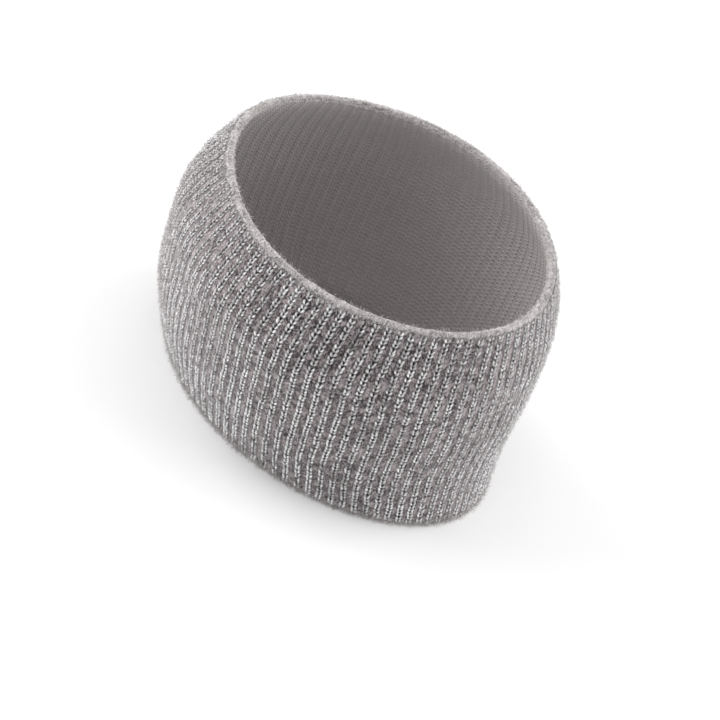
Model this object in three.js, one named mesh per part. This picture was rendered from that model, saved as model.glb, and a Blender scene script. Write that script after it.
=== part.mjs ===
import * as THREE from "three";

// Grey rib-knit ear warmer headband, in millimetres. It stands on its lower
// edge, with the wearer's face towards -Y and the wearer's left towards +X.

// Driving dimensions
const BAND_HEIGHT = 116; // resting face to the crest of the top edge
const BAND_LENGTH = 191; // forehead to nape at half height, outside
const BAND_WIDTH = 160; // temple to temple at half height, outside
const WALL_THICKNESS = 5; // two layers of rib knit
const TOP_EDGE_HEIGHT = 3.5; // turned plain-knit edge above the ribs
const BOTTOM_EDGE_HEIGHT = 2.6; // plain-knit hem below the ribs
const EDGE_GAP = 0.3; // between the ribbed wall and each edge
const RIB_PITCH = 5.85; // centre to centre at half height
const RIB_RELIEF = 0.8; // crest of a rib above the ground beside it
const RIB_FADE = 5; // length over which a rib rises at each end
const RIB_LEAN = 4.3; // by which a rib's upper end lies further round the band

// How the plan of the band departs from an ellipse
const BACK_FULLNESS = 0.06; // share by which the back half is wider
const CORNER_TUCK = 0.018; // share taken off at the four diagonals

// Outline of the outer face by level. Height is a share of the band's height,
// front and back are shares of half its length, side of half its width.
const LEVELS = [
  { height: 0, front: 0.89, back: 1, side: 0.785 },
  { height: 0.25, front: 0.99, back: 0.975, side: 0.915 },
  { height: 0.5, front: 1, back: 0.985, side: 1 },
  { height: 0.75, front: 0.97, back: 0.965, side: 1.05 },
  { height: 1, front: 0.835, back: 0.89, side: 0.89 },
];

// Corners of one rib's outline. Along is in pitches from the rib's centre, and
// rise is a share of the relief.
const RIB_CORNERS = [
  { along: -0.32, rise: 0 },
  { along: -0.2, rise: 1 },
  { along: 0.2, rise: 1 },
  { along: 0.32, rise: 0 },
];
const FIRST_RIB = 0.03; // pitches from the left temple to a rib's centre

// Sections of the two edges, from the outer face inwards. Depth is a share of
// the wall's thickness and rise a share of the edge's height.
const TOP_EDGE_SECTION = [
  { depth: 0.04, rise: 0 },
  { depth: 0, rise: 0.5 },
  { depth: 0.28, rise: 1 },
  { depth: 0.72, rise: 1 },
  { depth: 1, rise: 0.5 },
  { depth: 0.96, rise: 0 },
];
const BOTTOM_EDGE_SECTION = [
  { depth: 0.2, rise: 0 },
  { depth: 0, rise: 0.45 },
  { depth: 0.04, rise: 1 },
  { depth: 0.96, rise: 1 },
  { depth: 1, rise: 0.45 },
  { depth: 0.8, rise: 0 },
];

const OUTER_ROWS = 10;
const INNER_ROWS = 7;
const GIRTH_STEPS = 1440;

// A column of LEVELS at any height share, on a smooth curve through its rows.
function levelShare(column, height) {
  const values = LEVELS.map((level) => level[column]);
  const last = values.length - 1;
  const place = THREE.MathUtils.clamp(height, 0, 1) * last;
  const row = Math.min(Math.floor(place), last - 1);
  const t = place - row;
  const b = values[row];
  const c = values[row + 1];
  const a = row > 0 ? values[row - 1] : 2 * b - c;
  const d = row < last - 1 ? values[row + 2] : 2 * c - b;
  const line = 2 * b + (c - a) * t;
  const bend = (2 * a - 5 * b + 4 * c - d) * t * t;
  const twist = (3 * b - a - 3 * c + d) * t * t * t;
  return (line + bend + twist) / 2;
}

// The plan of the outer face: angle 0 is the left temple, a quarter turn on
// is the nape, and depth moves the point square into the wall.
function planPoint(angle, height, depth) {
  const share = height / BAND_HEIGHT;
  const front = (levelShare("front", share) * BAND_LENGTH) / 2;
  const back = (levelShare("back", share) * BAND_LENGTH) / 2;
  const side = (levelShare("side", share) * BAND_WIDTH) / 2;
  const at = (a) => {
    const reach = Math.sin(a) > 0 ? back : front;
    const tuck = 1 - (CORNER_TUCK * (1 - Math.cos(4 * a))) / 2;
    const x = side * Math.cos(a) * (1 + BACK_FULLNESS * Math.sin(a)) * tuck;
    return new THREE.Vector2(x, reach * Math.sin(a) * tuck);
  };
  const step = 0.001;
  const along = at(angle + step).sub(at(angle - step)).normalize();
  return at(angle).add(new THREE.Vector2(-along.y, along.x).multiplyScalar(depth));
}

// Angles are spaced by distance round the half-height girth, so that the ribs
// are evenly spaced there.
const girthTable = [0];
for (let i = 1; i <= GIRTH_STEPS; i += 1) {
  const before = planPoint((2 * Math.PI * (i - 1)) / GIRTH_STEPS, BAND_HEIGHT / 2, 0);
  const here = planPoint((2 * Math.PI * i) / GIRTH_STEPS, BAND_HEIGHT / 2, 0);
  girthTable.push(girthTable[i - 1] + before.distanceTo(here));
}
const GIRTH = girthTable[GIRTH_STEPS];
const RIB_COUNT = Math.round(GIRTH / RIB_PITCH);

function angleAt(turnShare) {
  const whole = Math.floor(turnShare);
  const distance = (turnShare - whole) * GIRTH;
  const next = Math.max(1, girthTable.findIndex((reached) => reached >= distance));
  const part = (distance - girthTable[next - 1]) / (girthTable[next] - girthTable[next - 1]);
  return 2 * Math.PI * (whole + (next - 1 + part) / GIRTH_STEPS);
}

// Columns of points round the band, each with its turn at half height as a
// share of the girth, and how far it stands out of the face.
const ribColumns = [];
const plainColumns = [];
for (let rib = 0; rib < RIB_COUNT; rib += 1) {
  for (const { along, rise } of RIB_CORNERS) {
    ribColumns.push({ turn: (rib + FIRST_RIB + along) / RIB_COUNT, rise });
  }
  plainColumns.push({ turn: (rib + FIRST_RIB) / RIB_COUNT, rise: 0 });
}

// One closed row of points round the band at a height and a depth in the wall.
function wallRow(columns, height, depth, relief) {
  const lean = ((height / BAND_HEIGHT - 0.5) * RIB_LEAN) / GIRTH;
  const points = columns.map(({ turn, rise }) => {
    const point = planPoint(angleAt(turn + lean), height, depth - rise * relief);
    return new THREE.Vector3(point.x, point.y, height);
  });
  return { columns, points };
}

// A closed ring from rows taken in order round its section. Neighbouring rows
// are joined by triangles, which also joins rows of unequal counts.
function ringGeometry(rows) {
  const points = rows.flatMap((row) => row.points);
  const starts = [];
  rows.reduce((start, row) => {
    starts.push(start);
    return start + row.points.length;
  }, 0);
  const faces = [];
  rows.forEach((row, i) => {
    const other = (i + 1) % rows.length;
    const upper = rows[other];
    const at = (r, k) => starts[r] + (k % rows[r].points.length);
    const turnOf = (r, k) => {
      const count = rows[r].columns.length;
      return rows[r].columns[k % count].turn + Math.floor(k / count);
    };
    let a = 0;
    let b = 0;
    while (a < row.points.length || b < upper.points.length) {
      const nextA = a < row.points.length ? turnOf(i, a + 1) : Infinity;
      const nextB = b < upper.points.length ? turnOf(other, b + 1) : Infinity;
      if (nextA <= nextB) {
        faces.push(at(i, a), at(i, a + 1), at(other, b));
        a += 1;
      } else {
        faces.push(at(i, a), at(other, b + 1), at(other, b));
        b += 1;
      }
    }
  });
  const geometry = new THREE.BufferGeometry().setFromPoints(points);
  geometry.setIndex(faces);
  geometry.computeVertexNormals();
  return geometry;
}

// The ribbed wall: ribs outside, a plain face inside.
function bandGeometry() {
  const low = BOTTOM_EDGE_HEIGHT + EDGE_GAP;
  const high = BAND_HEIGHT - TOP_EDGE_HEIGHT - EDGE_GAP;
  const rows = [];
  for (let i = 0; i < OUTER_ROWS; i += 1) {
    const height = THREE.MathUtils.lerp(low, high, i / (OUTER_ROWS - 1));
    const toEnd = Math.min(height - low, high - height);
    const relief = RIB_RELIEF * Math.min(1, toEnd / RIB_FADE);
    rows.push(wallRow(ribColumns, height, RIB_RELIEF, relief));
  }
  for (let i = INNER_ROWS - 1; i >= 0; i -= 1) {
    const height = THREE.MathUtils.lerp(low, high, i / (INNER_ROWS - 1));
    rows.push(wallRow(plainColumns, height, WALL_THICKNESS, 0));
  }
  return ringGeometry(rows);
}

// An edge: a closed section carried round the band from the given height.
function edgeGeometry(section, base, edgeHeight) {
  const rows = section.map(({ depth, rise }) =>
    wallRow(plainColumns, base + rise * edgeHeight, depth * WALL_THICKNESS, 0),
  );
  return ringGeometry(rows);
}

const ribKnit = new THREE.MeshStandardMaterial({ color: 0x96918f, roughness: 0.95, metalness: 0 });
const plainKnit = new THREE.MeshStandardMaterial({ color: 0xa5a09d, roughness: 0.97, metalness: 0 });

function piece(name, geometry, material) {
  const mesh = new THREE.Mesh(geometry, material);
  mesh.name = name;
  return mesh;
}

const topEdge = edgeGeometry(TOP_EDGE_SECTION, BAND_HEIGHT - TOP_EDGE_HEIGHT, TOP_EDGE_HEIGHT);
const bottomEdge = edgeGeometry(BOTTOM_EDGE_SECTION, 0, BOTTOM_EDGE_HEIGHT);
const headband = new THREE.Group();
headband.add(piece("band", bandGeometry(), ribKnit));
headband.add(piece("top_edge", topEdge, plainKnit));
headband.add(piece("bottom_edge", bottomEdge, plainKnit));

export default headband;
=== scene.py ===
import bpy
import numpy as np
from mathutils import Matrix, Vector


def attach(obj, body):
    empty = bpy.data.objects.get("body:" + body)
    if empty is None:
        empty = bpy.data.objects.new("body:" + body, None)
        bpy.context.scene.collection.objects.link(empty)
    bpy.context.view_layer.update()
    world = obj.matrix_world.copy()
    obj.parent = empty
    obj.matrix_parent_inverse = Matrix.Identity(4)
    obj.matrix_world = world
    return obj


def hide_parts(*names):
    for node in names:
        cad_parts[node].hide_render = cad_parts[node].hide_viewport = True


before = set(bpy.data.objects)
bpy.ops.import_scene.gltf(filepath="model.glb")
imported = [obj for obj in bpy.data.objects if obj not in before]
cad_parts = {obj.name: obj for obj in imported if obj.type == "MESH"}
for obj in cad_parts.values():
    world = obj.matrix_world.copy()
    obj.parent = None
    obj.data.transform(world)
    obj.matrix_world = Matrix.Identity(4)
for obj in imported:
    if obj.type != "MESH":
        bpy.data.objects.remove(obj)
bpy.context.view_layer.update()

# The wall of the headband: two layers of brushed grey wool, knitted in rib and
# closed in a ring. Sunk purl grounds lie between the ribs outside, and the inner
# layer shows its plain face. All lengths are in millimetres until a mesh is made.
MM = 0.001
HEIGHT = 116.0
HALF_LENGTH = 95.5
HALF_WIDTH = 80.0
WALL_THICKNESS = 5.0
BACK_FULLNESS = 0.06
CORNER_TUCK = 0.018
RIB_PITCH = 5.85
RIB_LEAN = 4.3
FIRST_RIB = 0.03
TAPE_STEPS = 1440
# Share of the height, then the front, the back and the side as shares of the half sizes.
LEVELS = np.array([
    [0.0, 0.89, 1.0, 0.785],
    [0.25, 0.99, 0.975, 0.915],
    [0.5, 1.0, 0.985, 1.0],
    [0.75, 0.97, 0.965, 1.05],
    [1.0, 0.835, 0.89, 0.89],
])
FRONT, BACK, SIDE = 1, 2, 3


def curve_between(a, b, c, d, t):
    """A Catmull-Rom curve: from b to c as t goes from 0 to 1, heading as a and d lead it."""
    bend = (2 * a - 5 * b + 4 * c - d) * t**2 + (3 * b - a - 3 * c + d) * t**3
    return (2 * b + (c - a) * t + bend) / 2


def level(column, share):
    """A column of LEVELS at shares of the height, on a smooth curve through its rows."""
    rows = LEVELS[:, column]
    rows = np.concatenate([[2 * rows[0] - rows[1]], rows, [2 * rows[-1] - rows[-2]]])
    place = np.clip(share, 0, 1) * (len(LEVELS) - 1)
    row = np.minimum(place.astype(int), len(LEVELS) - 2)
    a, b, c, d = (rows[row + step] for step in range(4))
    return curve_between(a, b, c, d, place - row)


def outline(angle, share):
    """The outer face from above: an oval, fuller at the back and tucked in at its four diagonals."""
    reach = np.where(np.sin(angle) > 0, level(BACK, share), level(FRONT, share))
    tuck = 1 - CORNER_TUCK * (1 - np.cos(4 * angle)) / 2
    fuller = 1 + BACK_FULLNESS * np.sin(angle)
    x = level(SIDE, share) * HALF_WIDTH * np.cos(angle) * fuller * tuck
    y = reach * HALF_LENGTH * np.sin(angle) * tuck
    return np.stack([x, y], -1)


tape_angles = np.linspace(0, 2 * np.pi, TAPE_STEPS + 1)
tape_steps = np.diff(outline(tape_angles, np.full(TAPE_STEPS + 1, 0.5)), axis=0)
tape = np.append(0, np.cumsum(np.linalg.norm(tape_steps, axis=1)))
GIRTH = tape[-1]
RIBS = round(GIRTH / RIB_PITCH)


def unit(vectors):
    """Vectors brought to length 1."""
    return vectors / np.linalg.norm(vectors, axis=-1, keepdims=True)


def wall(turn, height, out=0.0):
    """Points of the wall: turns from the left temple along the girth at half height, a height, and
    how far out of the outer face they stand, square to the face seen from above. One turn leads
    up along a rib, which leans as it rises."""
    turn, height, out = np.broadcast_arrays(turn, height, out)
    share = height / HEIGHT
    angle = np.interp((turn * GIRTH + (share - 0.5) * RIB_LEAN) % GIRTH, tape, tape_angles)
    along = unit(outline(angle + 0.001, share) - outline(angle - 0.001, share))
    square = np.stack([along[..., 1], -along[..., 0]], -1)
    flat = outline(angle, share) + square * out[..., None]
    return np.concatenate([flat, height[..., None]], -1)


def face_axes(turn, height):
    """Unit vectors of the outer face at a place: round the band, up the wall, and out of it."""
    around = unit(wall(turn + 0.0005, height) - wall(turn - 0.0005, height))
    rising = unit(wall(turn, height + 0.5) - wall(turn, height - 0.5))
    return around, rising, unit(np.cross(around, rising))


def smooth_step(t):
    """From 0 to 1 as t does, level at both ends: 3 t squared less 2 t cubed."""
    return t * t * (3 - 2 * t)


def soft_noise(turn, height, size, seed):
    """Smooth random values from -1 to 1: a lattice of random values about `size` apart, joined
    by smooth steps, that closes round the girth."""
    turn, height = np.broadcast_arrays(turn, height)
    across = round(GIRTH / size)
    lattice = np.random.default_rng(seed).uniform(-1, 1, (across, int(HEIGHT / size) + 4))
    u = (turn % 1) * across
    v = np.clip(height, 0, HEIGHT) / size
    column = u.astype(int)
    row = v.astype(int)
    u = smooth_step(u - column)
    v = smooth_step(v - row)
    left = column % across
    right = (column + 1) % across
    low = lattice[left, row] * (1 - u) + lattice[right, row] * u
    high = lattice[left, row + 1] * (1 - u) + lattice[right, row + 1] * u
    return low * (1 - v) + high * v


def lumps(turn, height, layers):
    """Lumps of several sizes, added up. Each layer has its rise, its size and its seed."""
    return sum(rise * soft_noise(turn, height, size, seed) for rise, size, seed in layers)


MATTED_LAYERS = ((1.0, 7.0, 3), (0.5, 2.8, 4))


def matted(turn, height):
    """From 0 to 1: where brushed fibres have closed over the ribs."""
    return np.clip((lumps(turn, height, MATTED_LAYERS) - 0.45) / 0.5, 0, 1)


NAPPED_LEAST = 0.075


def napped_and_sheen(turn):
    """How thickly the cloth is brushed, and how much painted sheen evens out the yarn's tone, from 0
    near the ears
    to 1 near the forehead and the nape: half of one less the cosine of two full waves round the band."""
    return 0.5 - 0.5 * np.cos(4 * np.pi * (turn - NAPPED_LEAST))


def ring_faces(rows, columns):
    """Quads of a ring of rows x columns points that closes both ways, facing out."""
    row, column = np.divmod(np.arange(rows * columns), columns)
    ahead = (column + 1) % columns
    above = (row + 1) % rows
    corners = (row, column), (row, ahead), (above, ahead), (above, column)
    return np.stack([r * columns + c for r, c in corners], -1)


def knit_piece(name, points, faces, finishes):
    """A smooth mesh object from points in millimetres and arrays of faces, one array for each
    number of corners. It moves with the headband and takes the given finishes."""
    mesh = bpy.data.meshes.new(name)
    corners = np.concatenate([group.ravel() for group in faces])
    lengths = np.concatenate([np.full(len(group), group.shape[1]) for group in faces])
    mesh.vertices.add(len(points))
    mesh.vertices.foreach_set("co", (points * MM).astype(np.float32).ravel())
    mesh.loops.add(len(corners))
    mesh.loops.foreach_set("vertex_index", corners.astype(np.int32))
    mesh.polygons.add(len(lengths))
    mesh.polygons.foreach_set("loop_start", (np.cumsum(lengths) - lengths).astype(np.int32))
    mesh.polygons.foreach_set("use_smooth", np.ones(len(lengths), bool))
    mesh.update(calc_edges=True)
    for finish in finishes:
        mesh.materials.append(finish)
    made = bpy.data.objects.new(name, mesh)
    bpy.context.scene.collection.objects.link(made)
    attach(made, "root")
    return made


def set_tone(made, values):
    """A tone for each point of a piece, which its finish reads."""
    attribute = made.data.attributes.new("tone", "FLOAT", "POINT")
    attribute.data.foreach_set("value", values.astype(np.float32).ravel())


class Shade:
    """An output in a knit's material. Operators on it add Math nodes; node() adds any other node."""

    def __init__(self, tree, socket=None):
        self.tree = tree
        self.socket = socket

    def node(self, kind, settings, values, output=0):
        """A node of a kind: its settings, then the value or link of each socket that is named."""
        made = self.tree.nodes.new(kind)
        for key, value in settings.items():
            setattr(made, key, value)
        for key, value in values.items():
            if isinstance(value, Shade):
                self.tree.links.new(value.socket, made.inputs[key])
            else:
                made.inputs[key].default_value = value
        return Shade(self.tree, made.outputs[output]) if made.outputs else None

    def maths(self, operation, first, second=0.0):
        return self.node("ShaderNodeMath", {"operation": operation}, {0: first, 1: second})

    def __add__(self, other):
        return self.maths("ADD", self, other)

    def __sub__(self, other):
        return self.maths("SUBTRACT", self, other)

    def __rsub__(self, other):
        return self.maths("SUBTRACT", other, self)

    def __mul__(self, other):
        return self.maths("MULTIPLY", self, other)

    def __truediv__(self, other):
        return self.maths("DIVIDE", self, other)

    def __abs__(self):
        return self.maths("ABSOLUTE", self)

    __radd__ = __add__
    __rmul__ = __mul__

    def fraction(self):
        return self.maths("FRACT", self)

    def cosine(self):
        return self.maths("COSINE", self)

    def at_least(self, least):
        return self.maths("MAXIMUM", self, least)

    def at_most(self, most):
        return self.maths("MINIMUM", self, most)

    def blend(self, dark, light):
        """The colour from dark to light as this value goes from 0 to 1."""
        return self.node("ShaderNodeMix", {"data_type": "RGBA"}, {0: self, 6: dark, 7: light}, 2)

    def noise(self, scale, detail=3.0, roughness=0.6, distortion=0.0):
        """Noise read at this vector, from about 0.2 to 0.8. The scale is in waves a metre."""
        settings = {"Scale": scale, "Detail": detail, "Roughness": roughness}
        values = {"Vector": self, **settings, "Distortion": distortion}
        return self.node("ShaderNodeTexNoise", {}, values)

    def piece_place(self):
        """The place on the piece, in metres."""
        return self.node("ShaderNodeTexCoord", {}, {}, "Object")

    def rib_place(self, axis):
        """X counts the ribs from the left temple, and Y is the height in millimetres."""
        rib_map = self.node("ShaderNodeUVMap", {"uv_map": "knit"}, {})
        return self.node("ShaderNodeSeparateXYZ", {}, {0: rib_map}, axis)

    def point_tone(self):
        """The tone that set_tone gave the piece's points."""
        return self.node("ShaderNodeAttribute", {"attribute_name": "tone"}, {}, "Fac")


def new_finish(name):
    """An empty material, and a Shade to start its nodes from."""
    material = bpy.data.materials.new(name)
    material.use_nodes = True
    material.node_tree.nodes.clear()
    return material, Shade(material.node_tree)


def surface(start, values):
    """The shader of a finish, with the sockets that are named."""
    shader = start.node("ShaderNodeBsdfPrincipled", {}, values)
    start.node("ShaderNodeOutputMaterial", {}, {"Surface": shader})


def wool_surface(start, colour, height, depth, roughness, sheen, sheen_spread=0.5):
    """Matt wool: its colour, a relief of the given depth in metres, and a soft sheen of loose fibre."""
    bump = start.node("ShaderNodeBump", {}, {"Height": height, "Strength": 1.0, "Distance": depth})
    surface(start, {
        "Base Color": colour,
        "Roughness": roughness,
        "Specular IOR Level": 0.25,
        "Sheen Weight": sheen,
        "Sheen Roughness": sheen_spread,
        "Normal": bump,
    })


GROUND_SHADOW = (0.02, 0.0163, 0.0172, 1.0)
GROUND_DARK = (0.046, 0.0375, 0.0393, 1.0)
GROUND_LIGHT = (0.435, 0.378, 0.388, 1.0)
# Each of these goes from its first value over the ears to its second at the forehead and nape, where
# the cloth is brushed most and painted sheen makes the ground lighter and lower in contrast, with
# fainter painted shadows.
GROUND_TONE_AND_SHEEN = (0.27, 0.62)
BLOTCH_CONTRAST = (2.8, 2.0)
FIBRE_CONTRAST = (4.2, 2.2)
SHADOW_STRENGTH = (1.0, 0.3)
RELIEF_STRENGTH = (1.0, 0.6)
# Shadows on the ground, by distance from a rib's centre in pitches.
BETWEEN_LEGS = 0.13
BESIDE_LEGS = 0.3
BESIDE_LEGS_WIDTH = 0.08

brushed_rib, start = new_finish("brushed_rib_knit")
place = start.piece_place()
ribs_along = start.rib_place("X")
from_rib = 0.5 - abs(ribs_along.fraction() - 0.5)
ribs_from_least = ribs_along - 1 + FIRST_RIB - NAPPED_LEAST * RIBS
# The cloth is brushed most near the forehead and the nape, and there the ground also takes painted
# sheen.
brushed = 0.5 - 0.5 * (ribs_from_least * (4 * np.pi / RIBS)).cosine()


def by_brushing_and_sheen(pair):
    """From the first value of a pair to the second, as the cloth is brushed more and painted sheen
    lightens it.
    """
    return pair[0] + brushed * (pair[1] - pair[0])


blotches = place.noise(280.0, 1.0)
fibres = place.noise(1000.0, 1.0, 0.6, 1.5)
patches = ((place.noise(700.0, 1.0) - 0.42) * 6.0).at_least(0.0).at_most(1.0)
between_legs = (1 - from_rib / BETWEEN_LEGS).at_least(0.0)
beside_legs = (1 - abs(from_rib - BESIDE_LEGS) / BESIDE_LEGS_WIDTH).at_least(0.0) * patches
flecks = (blotches - 0.5) * by_brushing_and_sheen(BLOTCH_CONTRAST) + (fibres - 0.5) * by_brushing_and_sheen(FIBRE_CONTRAST)
cloth = (flecks + by_brushing_and_sheen(GROUND_TONE_AND_SHEEN)).blend(GROUND_DARK, GROUND_LIGHT)
shadow = (between_legs * 1.4 + beside_legs * 0.7) * by_brushing_and_sheen(SHADOW_STRENGTH)
shadow_mix = {0: shadow.at_most(1.0), 6: cloth, 7: GROUND_SHADOW}
shadowed = start.node("ShaderNodeMix", {"data_type": "RGBA"}, shadow_mix, 2)
ground_relief = (fibres + blotches * 0.6) * by_brushing_and_sheen(RELIEF_STRENGTH)
wool_surface(start, shadowed, ground_relief, 0.00028, 0.95, 1.0, 0.35)

INSIDE_WALES = 2
INSIDE_COURSE = 2.1
INSIDE_SLANT = 1.1
INSIDE_DARK = (0.42, 0.385, 0.385, 1.0)
INSIDE_LIGHT = (0.64, 0.6, 0.595, 1.0)

plain_inside, start = new_finish("plain_knit_inside")
from_wale = abs((start.rib_place("X") * INSIDE_WALES).fraction() - 0.5)
courses_up = start.rib_place("Y") / INSIDE_COURSE
along_leg = (courses_up + from_wale * INSIDE_SLANT).fraction() - 0.5
leg_rise = (1 - abs(along_leg) * 2) * (from_wale * 6).at_most(1.0)
fibres = start.piece_place().noise(1500.0, 4.0, 0.7, 0.5)
cloth = (leg_rise * 0.4 + (fibres - 0.5) * 1.6 + 0.3).blend(INSIDE_DARK, INSIDE_LIGHT)
wool_surface(start, cloth, leg_rise * 0.8 + fibres * 0.6, 0.0008, 0.95, 0.25)

# Distance from a rib's centre in pitches, and how far the ground stands out of the outer face.
GROUND_PROFILE = np.array([
    [0.0, -1.0],
    [0.1, -0.85],
    [0.2, -1.0],
    [0.3, -0.95],
    [0.4, -0.75],
    [0.5, -0.65],
])
PLAIN_OUT = -1.0
END_OUT = np.array([[-2.2], [-3.8]])
COLUMNS_PER_RIB = 10
OUTER_ROWS = 66
INNER_ROWS = 16
WALL_LOW = 1.5
WALL_HIGH = 114.0
RIBS_LOW = 1.6
RIBS_HIGH = 113.9
# The profile fades to plain cloth over this length, past the ribs' lower and upper ends.
FADE_LENGTH = 3.0
FADE_PAST_LOW = 2.0
FADE_PAST_HIGH = 1.0
# Rise, size and seed of each layer of lumps.
GROUND_LUMPS = ((0.22, 2.3, 1), (0.2, 8.0, 2))
INSIDE_LUMPS = ((0.15, 6.0, 5),)
INSIDE_WAVE = 0.25
MATTED_RISE = 0.35

columns = RIBS * COLUMNS_PER_RIB
turn = np.arange(columns) / columns
from_rib = np.abs((turn * RIBS - FIRST_RIB + 0.5) % 1 - 0.5)
outer_height = np.linspace(WALL_LOW, WALL_HIGH, OUTER_ROWS)[:, None]
to_end = np.minimum(outer_height - RIBS_LOW + FADE_PAST_LOW, RIBS_HIGH + FADE_PAST_HIGH - outer_height)
ribbed = np.clip(to_end / FADE_LENGTH, 0, 1)
relief = np.interp(from_rib, GROUND_PROFILE[:, 0], GROUND_PROFILE[:, 1])
outer_out = relief * ribbed + PLAIN_OUT * (1 - ribbed)
outer_out = outer_out + lumps(turn, outer_height, GROUND_LUMPS)
outer_out = outer_out + MATTED_RISE * matted(turn, outer_height)
inner_height = np.linspace(WALL_HIGH, WALL_LOW, INNER_ROWS)[:, None]
inner_out = -WALL_THICKNESS + INSIDE_WAVE * np.cos(2 * np.pi * from_rib)
inner_out = inner_out + lumps(turn, inner_height, INSIDE_LUMPS)
end_out = END_OUT + 0 * turn
section_height = np.concatenate([
    outer_height + 0 * turn, WALL_HIGH + 0 * end_out, inner_height + 0 * turn, WALL_LOW + 0 * end_out,
])
section_out = np.concatenate([outer_out, end_out, inner_out, end_out[::-1]])
section_rows = len(section_height)
points = wall(turn, section_height, section_out).reshape(-1, 3)
knit_wall = knit_piece("knit_wall", points, [ring_faces(section_rows, columns)],
                       [brushed_rib, plain_inside])
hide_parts("band")
quad_row, quad_column = np.divmod(np.arange(section_rows * columns), columns)
inside = (quad_row >= OUTER_ROWS) & (quad_row < OUTER_ROWS + len(END_OUT) + INNER_ROWS)
knit_wall.data.polygons.foreach_set("material_index", inside.astype(np.int32))
corner_column = quad_column[:, None] + np.array([0, 1, 1, 0])
corner_row = (quad_row[:, None] + np.array([0, 0, 1, 1])) % section_rows
knit_map = knit_wall.data.uv_layers.new(name="knit")
uv = np.stack([corner_column / COLUMNS_PER_RIB - FIRST_RIB + 1, section_height[corner_row, 0]], -1)
knit_map.data.foreach_set("uv", uv.astype(np.float32).ravel())

# The ribs: on each, one column of knit stitches in a smooth silver-grey yarn
# that the brushing has left mostly bare. Each stitch is a V of two legs, which
# open upwards and go in behind the next stitch.
COURSE = 2.05
LEG_FOOT = 0.2
LEG_SPREAD = 0.85
LEG_REACH = 0.98
LEG_RADIUS = 0.5
LEG_ARCH = 0.5
LEG_OUT = -0.7
LEG_POINTS = 4
LEG_SIDES = 4
SUNK_DEPTH = 0.25
LOWEST_STITCH = 0.9
HIGHEST_STITCH = 0.5
# Rise, size and seed of each layer of a rib's sideways sway.
SWAY_LAYERS = ((0.22, 9.0, 6), (0.2, 3.0, 7))
# How much chance varies each, as a standard deviation.
COURSE_CHANCE = 0.16
OPENING_CHANCE = 0.07
ASIDE_CHANCE = 0.1
UPWARD_CHANCE = 0.2
STANDING_CHANCE = 0.07
RADIUS_CHANCE = 0.1
TONE_CHANCE = 0.22
YARN_DARK = (0.12, 0.106, 0.11, 1.0)
YARN_LIGHT = (0.957, 0.954, 0.966, 1.0)
YARN_TONE = 0.75
# The tone that painted sheen draws the legs towards, where the cloth is napped most.
PAINTED_SHEEN_TONE = 0.48
# Place along a leg, and the share of its tone that shows there: painted shade at its ends, most where
# it goes in behind the next stitch.
LEG_SHADING = np.array([
    [0.0, 0.7],
    [0.35, 1.0],
    [0.7, 0.95],
    [1.0, 0.2],
])
# Share of the tone that shows at the hem and at the upper edge: painted light, lighter low down where
# the wall leans in and gets less light.
PAINTED_LIGHT_BY_HEIGHT = (1.2, 0.9)

silver_yarn, start = new_finish("silver_yarn")
fibres = start.piece_place().noise(2200.0, 3.0)
yarn = (start.point_tone() + (fibres - 0.5) * 0.7).blend(YARN_DARK, YARN_LIGHT)
wool_surface(start, yarn, fibres, 0.0001, 0.8, 0.3, 0.35)


def yarns(paths, facing, radii, sides):
    """Closed tubes along many paths (n, k, 3) at once: a ring of points round each path point,
    square to the path, and a cap at each end. `facing` (n, 3) is where the side of each looks."""
    count, length = paths.shape[:2]
    along = unit(np.gradient(paths, axis=1))
    across = unit(np.cross(along, facing[:, None]))
    lift = np.cross(across, along)
    spin = 2 * np.pi * np.arange(sides)[:, None] / sides
    around = np.cos(spin) * across[:, :, None] + np.sin(spin) * lift[:, :, None]
    rings = paths[:, :, None] + radii[..., None, None] * around
    tube = np.arange(count)[:, None, None] * length * sides
    ring = tube + np.arange(length - 1)[:, None] * sides
    here = np.arange(sides)
    ahead = (here + 1) % sides
    quads = np.stack([ring + here, ring + sides + here, ring + sides + ahead, ring + ahead], -1)
    start_cap = tube[:, 0] + here
    end_cap = tube[:, 0] + (length - 1) * sides + here[::-1]
    return rings.reshape(-1, 3), [quads.reshape(-1, 4), np.concatenate([start_cap, end_cap])]


# The length of cloth up to each height, along the mean slope of the wall.
climb = np.linspace(0, HEIGHT, 400)
mean_reach = (level(FRONT, climb / HEIGHT) + level(BACK, climb / HEIGHT)) * HALF_LENGTH / 4
mean_reach = mean_reach + level(SIDE, climb / HEIGHT) * HALF_WIDTH / 2
climbed = np.append(0, np.cumsum(np.hypot(np.diff(climb), np.diff(mean_reach))))

courses = round(np.diff(np.interp([RIBS_LOW, RIBS_HIGH], climb, climbed))[0] / COURSE)
chance = np.random.default_rng(11)
end_stitches = [RIBS_LOW + LOWEST_STITCH, RIBS_HIGH - HIGHEST_STITCH]
stitch_rise = np.linspace(*np.interp(end_stitches, climb, climbed), courses)
stitch_rise = stitch_rise + chance.normal(0, COURSE_CHANCE, (RIBS, courses))
stitch_height = np.interp(stitch_rise, climbed, climb)
stitch_turn = (np.arange(RIBS)[:, None] + FIRST_RIB) / RIBS
stitch_turn = stitch_turn + lumps(stitch_turn, stitch_height, SWAY_LAYERS) / GIRTH
sunk = matted(stitch_turn, stitch_height)
stitch_point = wall(stitch_turn, stitch_height)
around, rising, outward = face_axes(stitch_turn, stitch_height)

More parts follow.
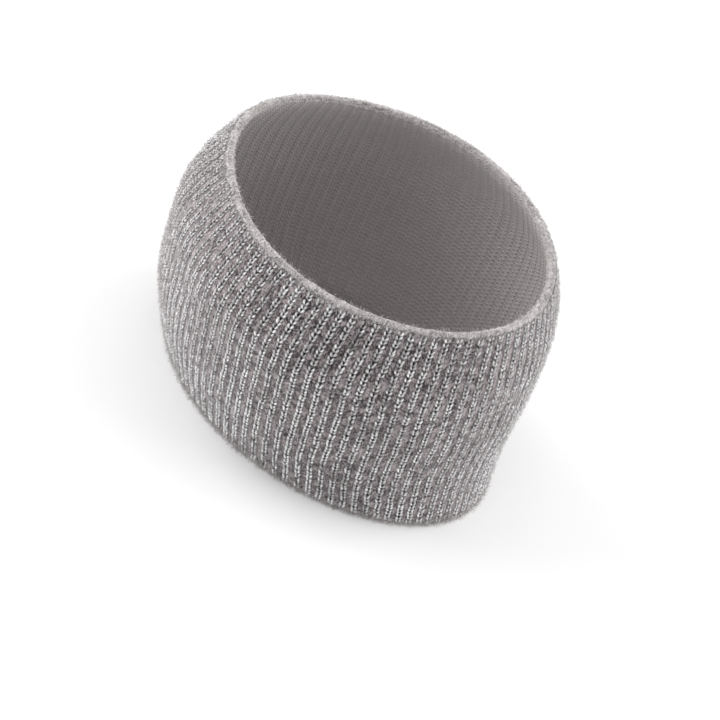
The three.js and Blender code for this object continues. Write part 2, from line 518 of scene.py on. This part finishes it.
# Axes of the arrays: rib, course, leg, point along the leg.
shape = (RIBS, courses, 2, LEG_POINTS)
per_leg = (RIBS, courses, 2, 1)
per_stitch = (RIBS, courses, 1, 1)
t = np.linspace(0, 1, LEG_POINTS)
hand = np.array([-1.0, 1.0])[:, None]
opening = LEG_FOOT + LEG_SPREAD * (1 - (1 - t) ** 3) + chance.normal(0, OPENING_CHANCE, per_leg)
aside = hand * opening + chance.normal(0, ASIDE_CHANCE, per_stitch)
upward = (t - 0.5) * LEG_REACH * COURSE + chance.normal(0, UPWARD_CHANCE, per_leg)
standing = LEG_ARCH * np.sin(np.pi * t) + LEG_OUT + chance.normal(0, STANDING_CHANCE, per_leg)
standing = standing - SUNK_DEPTH * sunk[..., None, None]
thickness = 0.5 + 0.5 * np.sin(np.pi * t)
radii = LEG_RADIUS * thickness * (1 + chance.normal(0, RADIUS_CHANCE, per_leg))
paths = stitch_point[:, :, None, None] + aside[..., None] * around[:, :, None, None]
paths = paths + upward[..., None] * rising[:, :, None, None]
paths = paths + standing[..., None] * outward[:, :, None, None]

faded = 0.45 * sunk - 0.2 * soft_noise(stitch_turn, stitch_height, 13.0, 8)
leg_tone = YARN_TONE + chance.normal(0, TONE_CHANCE, per_leg) - faded[..., None, None]
# Painted shade at the ends of each leg.
leg_tone = np.clip(leg_tone, 0.1, 1.1) * np.interp(t, LEG_SHADING[:, 0], LEG_SHADING[:, 1])
# Painted light: the legs are lighter towards the hem and darker towards the upper edge.
leg_tone = leg_tone * np.interp(stitch_height, [0, HEIGHT], PAINTED_LIGHT_BY_HEIGHT)[..., None, None]
# Painted sheen: where the cloth is napped most, each leg's tone is drawn halfway to an even middle
# tone.
leg_tone = leg_tone + (PAINTED_SHEEN_TONE - leg_tone) * 0.5 * napped_and_sheen(stitch_turn)[..., None, None]
half = RIBS // 2
for name, ribs in (("rib_stitches_back", slice(0, half)), ("rib_stitches_front", slice(half, RIBS))):
    leg_paths = paths[ribs].reshape(-1, LEG_POINTS, 3)
    facing = np.repeat(outward[ribs].reshape(-1, 3), 2, axis=0)
    leg_radii = np.broadcast_to(radii, shape)[ribs].reshape(-1, LEG_POINTS)
    points, faces = yarns(leg_paths, facing, leg_radii, LEG_SIDES)
    stitches = knit_piece(name, points, faces, [silver_yarn])
    set_tone(stitches, np.repeat(np.broadcast_to(leg_tone, shape)[ribs].ravel(), LEG_SIDES))

# The upper edge: the knit is turned over into a low soft edge, which the ribs
# run up to. Fine cross threads run over it. Its crest is brushed pale and painted
# lighter for light from above, and the strip under it is painted dark for shade in the crease.
EDGE_COLUMNS = 8 * RIBS
EDGE_ROWS = 20
# One turn round an edge's section, as a height in its noise.
SECTION_RUN = 60.0
EDGE_DARK = (0.1, 0.088, 0.087, 1.0)
EDGE_LIGHT = (0.63, 0.595, 0.59, 1.0)
# How far out of the outer face and how high, round the section from its underside outwards.
TOP_SECTION = np.array([
    [-2.4, 111.8],
    [-1.3, 112.2],
    [-0.8, 113.2],
    [-0.8, 114.4],
    [-1.3, 115.5],
    [-2.4, 116.0],
    [-3.5, 115.3],
    [-4.3, 114.0],
    [-4.8, 112.4],
    [-4.2, 111.2],
])
# Place on the section, and the tone there: painted shade low on the outer side, painted light on the
# crest.
TOP_PAINTED_LIGHT_AND_SHADE = np.array([
    [0.1, 0.16],
    [0.22, 0.26],
    [0.3, 0.46],
    [0.37, 0.76],
    [0.6, 0.76],
    [1.0, 0.4],
])
# Count, the two places that they run between, slant and radius in millimetres, and tone: painted shade
# for the low bundle, painted light for the one on the crest.
TOP_THREADS = [
    (430, 0.14, 0.34, 1.2, 0.22, 0.28),
    (480, 0.32, 0.56, 0.9, 0.26, 0.85),
]

edge_wool, start = new_finish("brushed_edge")
place = start.piece_place()
fibres = place.noise(1000.0, 1.0, 0.6, 1.5)
tufts = place.noise(420.0, 2.0)
cloth = (start.point_tone() + (fibres - 0.5) * 3.0 + (tufts - 0.5) * 0.9).blend(EDGE_DARK, EDGE_LIGHT)
wool_surface(start, cloth, fibres + tufts, 0.0004, 0.95, 0.6)


def on_section(section, place):
    """Out and height at places from 0 to 1 along a smooth closed curve through a section."""
    along = (place % 1) * len(section)
    row = along.astype(int)
    a, b, c, d = (section[(row + step) % len(section)] for step in (-1, 0, 1, 2))
    return curve_between(a, b, c, d, (along - row)[..., None])


def edge(section, turn, place, lift=0.0):
    """Points of an edge: turns round the band, a place on its section, and a lift square to it.
    None lies lower than the height 0, on which the headband stands."""
    turn, place, lift = np.broadcast_arrays(turn, place, lift)
    here = on_section(section, place)
    ahead = unit(on_section(section, place + 0.01) - on_section(section, place - 0.01))
    height = here[..., 1] - lift * ahead[..., 0]
    return wall(turn, np.maximum(height, 0.0), here[..., 0] + lift * ahead[..., 1])


def edge_ring(name, section, tones, seed):
    """The body of an edge, a ring with small lumps all over."""
    turn = np.arange(EDGE_COLUMNS) / EDGE_COLUMNS
    place = np.arange(EDGE_ROWS)[:, None] / EDGE_ROWS
    run = SECTION_RUN * place
    lift = lumps(turn, run, ((0.22, 2.6, seed), (0.2, 8.0, seed + 1)))
    points = edge(section, turn, place, lift).reshape(-1, 3)
    ring = knit_piece(name, points, [ring_faces(EDGE_ROWS, EDGE_COLUMNS)], [edge_wool])
    tone = np.interp(place, tones[:, 0], tones[:, 1])
    set_tone(ring, tone + 0.12 * soft_noise(turn, run, 11.0, seed + 2))
    return ring


def cross_threads(name, section, bundles, seed):
    """Short yarns side by side across an edge. A bundle has its count, the two places it runs
    between, its slant and radius in millimetres and its tone."""
    chance = np.random.default_rng(seed)
    t = np.linspace(0, 1, LEG_POINTS)
    arch = np.sin(np.pi * t)
    made = []
    for count, low, high, slant, radius, tone in bundles:
        each = (count, 1)
        turn = (np.arange(count)[:, None] + chance.normal(0, 0.2, each)) / count
        turn = turn + (slant + chance.normal(0, 0.25, each)) * (t - 0.5) / GIRTH
        place = low + (high - low) * t + chance.normal(0, 0.012, each)
        lift = 0.3 * arch - 0.2 + chance.normal(0, 0.08, each)
        foot = edge(section, turn[:, 1], place[:, 1])
        facing = unit(edge(section, turn[:, 1], place[:, 1], 1.0) - foot)
        radii = radius * (0.5 + 0.5 * arch) * (1 + chance.normal(0, 0.15, each))
        tones = np.clip(tone + chance.normal(0, 0.25, each) + 0 * t, 0, 1)
        made.append((edge(section, turn, place, lift), facing, radii, tones))
    paths, facing, radii, tones = [np.concatenate(parts) for parts in zip(*made)]
    points, faces = yarns(paths, facing, radii, LEG_SIDES)
    threads = knit_piece(name, points, faces, [edge_wool])
    set_tone(threads, np.repeat(tones.ravel(), LEG_SIDES))


# The roll's tones paint light on its crest and shade low on its outer side.
top_roll = edge_ring("top_roll", TOP_SECTION, TOP_PAINTED_LIGHT_AND_SHADE, 21)
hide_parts("top_edge")
cross_threads("top_cross_threads", TOP_SECTION, TOP_THREADS, 31)

# The lower hem: a low soft edge under the ends of the ribs. Its underside is
# flat where the headband stands.
HEM_SECTION = np.array([
    [-2.5, -0.3],
    [-1.4, -0.2],
    [-0.8, 0.6],
    [-0.6, 1.6],
    [-0.9, 2.6],
    [-2.5, 3.4],
    [-4.5, 2.8],
    [-4.9, 1.5],
    [-4.6, 0.5],
    [-3.8, -0.2],
])
# Place on the section, and the tone there: the hem's own pale tone, raised on its outer side as painted
# light against the shade near the floor.
HEM_TONE_AND_PAINTED_LIGHT = np.array([
    [0.0, 0.9],
    [0.2, 0.9],
    [0.4, 0.7],
    [1.0, 0.5],
])
HEM_THREADS = [
    (420, 0.21, 0.42, -0.6, 0.26, 0.9),
]
hem_ring = edge_ring("hem", HEM_SECTION, HEM_TONE_AND_PAINTED_LIGHT, 41)
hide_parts("bottom_edge")
cross_threads("hem_cross_threads", HEM_SECTION, HEM_THREADS, 43)

# The nap: loose wool fibres that brushing has pulled out of the wall and of both
# edges. Each is a thin straight hair, fixed at its root.
HAIR_SIDES = 3
HAIR_RADIUS = 0.085
HAIR_TAPER = np.array([1.0, 0.6])
HAIR_DARK = (0.25, 0.228, 0.228, 1.0)
HAIR_LIGHT = (0.68, 0.645, 0.64, 1.0)
WALL_HAIRS = 39000
WALL_HAIR_LENGTH = 3.4
WALL_HAIR_RISE = 2.0
NAP_LOW = 1.5
NAP_HIGH = 113.5
NAP_CROWDING = 0.6
# Least height of the middle line of a hair above the floor.
LEAST_CLEARANCE = 0.1

nap, start = new_finish("wool_nap")
surface(start, {
    "Base Color": start.point_tone().blend(HAIR_DARK, HAIR_LIGHT),
    "Roughness": 0.9,
    "Specular IOR Level": 0.2,
    "Sheen Weight": 0.3,
})


def hair_piece(name, roots, around, outward, longest, highest, chance):
    """Hairs from their roots: each leans along the cloth in some direction, and rises from just
    inside the cloth to a height of its own. The middle line of each stays above the floor."""
    count = len(roots)
    heading = chance.uniform(0, 2 * np.pi, (count, 1))
    along = np.cos(heading) * around + np.sin(heading) * np.cross(outward, around)
    length = longest * chance.uniform(0.3, 1.0, (count, 1))
    rise = highest * np.minimum(0.2 + 0.3 * chance.exponential(1.0, (count, 1)), 1)
    paths = np.stack([roots - 0.3 * outward, roots + length * along + rise * outward], 1)
    paths[..., 2] = np.maximum(paths[..., 2], LEAST_CLEARANCE)
    radii = HAIR_RADIUS * HAIR_TAPER * chance.uniform(0.7, 1.3, (count, 1))
    points, faces = yarns(paths, outward, radii, HAIR_SIDES)
    made = knit_piece(name, points, faces, [nap])
    set_tone(made, np.repeat(chance.uniform(0, 1, count), 2 * HAIR_SIDES))


def edge_hairs(name, section, count, places, longest, highest, seed):
    """Hairs all over an edge between two places of its section."""
    chance = np.random.default_rng(seed)
    turn = chance.uniform(0, 1, count)
    place = chance.uniform(*places, count)
    roots = edge(section, turn, place)
    around = unit(edge(section, turn + 0.0005, place) - edge(section, turn - 0.0005, place))
    rising = unit(edge(section, turn, place + 0.01) - edge(section, turn, place - 0.01) + 1e-9)
    outward = unit(np.cross(around, rising))
    hair_piece(name, roots, around, outward, longest, highest, chance)


chance = np.random.default_rng(51)
for name, first_turn in (("wall_nap_back", 0.0), ("wall_nap_front", 0.5)):
    turn = chance.uniform(first_turn, first_turn + 0.5, WALL_HAIRS // 2)
    turn = turn + NAP_CROWDING * np.sin(4 * np.pi * (turn - NAPPED_LEAST)) / (4 * np.pi)
    height = chance.uniform(NAP_LOW, NAP_HIGH, WALL_HAIRS // 2)
    around, _, outward = face_axes(turn, height)
    roots = wall(turn, height, -0.5)
    hair_piece(name, roots, around, outward, WALL_HAIR_LENGTH, WALL_HAIR_RISE, chance)
edge_hairs("top_nap", TOP_SECTION, 3000, (0.14, 0.66), 2.6, 1.7, 52)
edge_hairs("hem_nap", HEM_SECTION, 6000, (0.18, 0.44), 2.8, 2.8, 53)

# The stage: a plain pale floor that the headband stands on.
FLOOR_SIZE = 12.0
bpy.ops.mesh.primitive_plane_add(size=FLOOR_SIZE, location=(0, 0, 0))
floor = bpy.context.object
floor.name = "floor"
floor_finish, start = new_finish("pale_floor")
surface(start, {"Base Color": (0.95, 0.95, 0.95, 1.0), "Roughness": 0.9})
floor.data.materials.append(floor_finish)

# The camera, at the photograph's angle to the headband. It looks at a point a little
# beside the middle, and is rolled about its own line of sight.
AZIMUTH = np.radians(117.18)
ELEVATION = np.radians(40.4)
ROLL_ANGLE = np.radians(21.36)
FOCAL_PIXELS = 3293.2
PICTURE_PIXELS = 720
ASIDE_PIXELS = -9.6
DOWN_PIXELS = -61.1
DISTANCE = 1.5
middle = Vector((0, 0, HEIGHT / 2 * MM))
flat_back = Vector((np.sin(AZIMUTH), -np.cos(AZIMUTH), 0))
back = flat_back * np.cos(ELEVATION) + Vector((0, 0, np.sin(ELEVATION)))
level_right = Vector((np.cos(AZIMUTH), np.sin(AZIMUTH), 0))
level_up = back.cross(level_right)
right = level_right * np.cos(ROLL_ANGLE) + level_up * np.sin(ROLL_ANGLE)
up = level_up * np.cos(ROLL_ANGLE) - level_right * np.sin(ROLL_ANGLE)
aim = right * (-ASIDE_PIXELS / FOCAL_PIXELS) + up * (DOWN_PIXELS / FOCAL_PIXELS) - back
aim.normalize()
side = aim.cross(up).normalized()
camera_data = bpy.data.cameras.new("camera")
camera_data.sensor_width = 36.0
camera_data.lens = FOCAL_PIXELS / PICTURE_PIXELS * camera_data.sensor_width
camera = bpy.data.objects.new("camera", camera_data)
bpy.context.scene.collection.objects.link(camera)
axes = Matrix((side, side.cross(aim), -aim)).transposed()
camera.matrix_world = Matrix.Translation(middle + back * DISTANCE) @ axes.to_4x4()
bpy.context.scene.camera = camera

# The light: a pale studio, with a large soft lamp on each side, a little behind
# the headband as the camera sees it, one above, and one low in front.
STUDIO_LIGHT = 0.57
world = bpy.data.worlds.new("studio")
world.use_nodes = True
world.node_tree.nodes["Background"].inputs["Color"].default_value = (1, 1, 1, 1)
world.node_tree.nodes["Background"].inputs["Strength"].default_value = STUDIO_LIGHT
bpy.context.scene.world = world


def lamp(name, aside, towards, height, size, power):
    """A square lamp that looks at the headband. It stands metres to the camera's right, towards
    the camera and up, and has its side in metres and its power in watts."""
    data = bpy.data.lights.new(name, "AREA")
    data.size = size
    data.energy = power
    made = bpy.data.objects.new(name, data)
    made.location = level_right * aside + flat_back * towards + Vector((0, 0, height))
    made.rotation_euler = (middle - made.location).to_track_quat("-Z", "Y").to_euler()
    bpy.context.scene.collection.objects.link(made)


lamp("left_lamp", -1.3, -0.2, 0.5, 1.6, 27.5)
lamp("right_lamp", 1.3, -0.35, 0.5, 1.6, 24.5)
lamp("top_lamp", 0.0, -0.3, 1.8, 1.4, 4.0)
lamp("front_lamp", 0.0, 1.5, 0.15, 0.9, 5.0)
bpy.context.scene.view_settings.view_transform = "Standard"
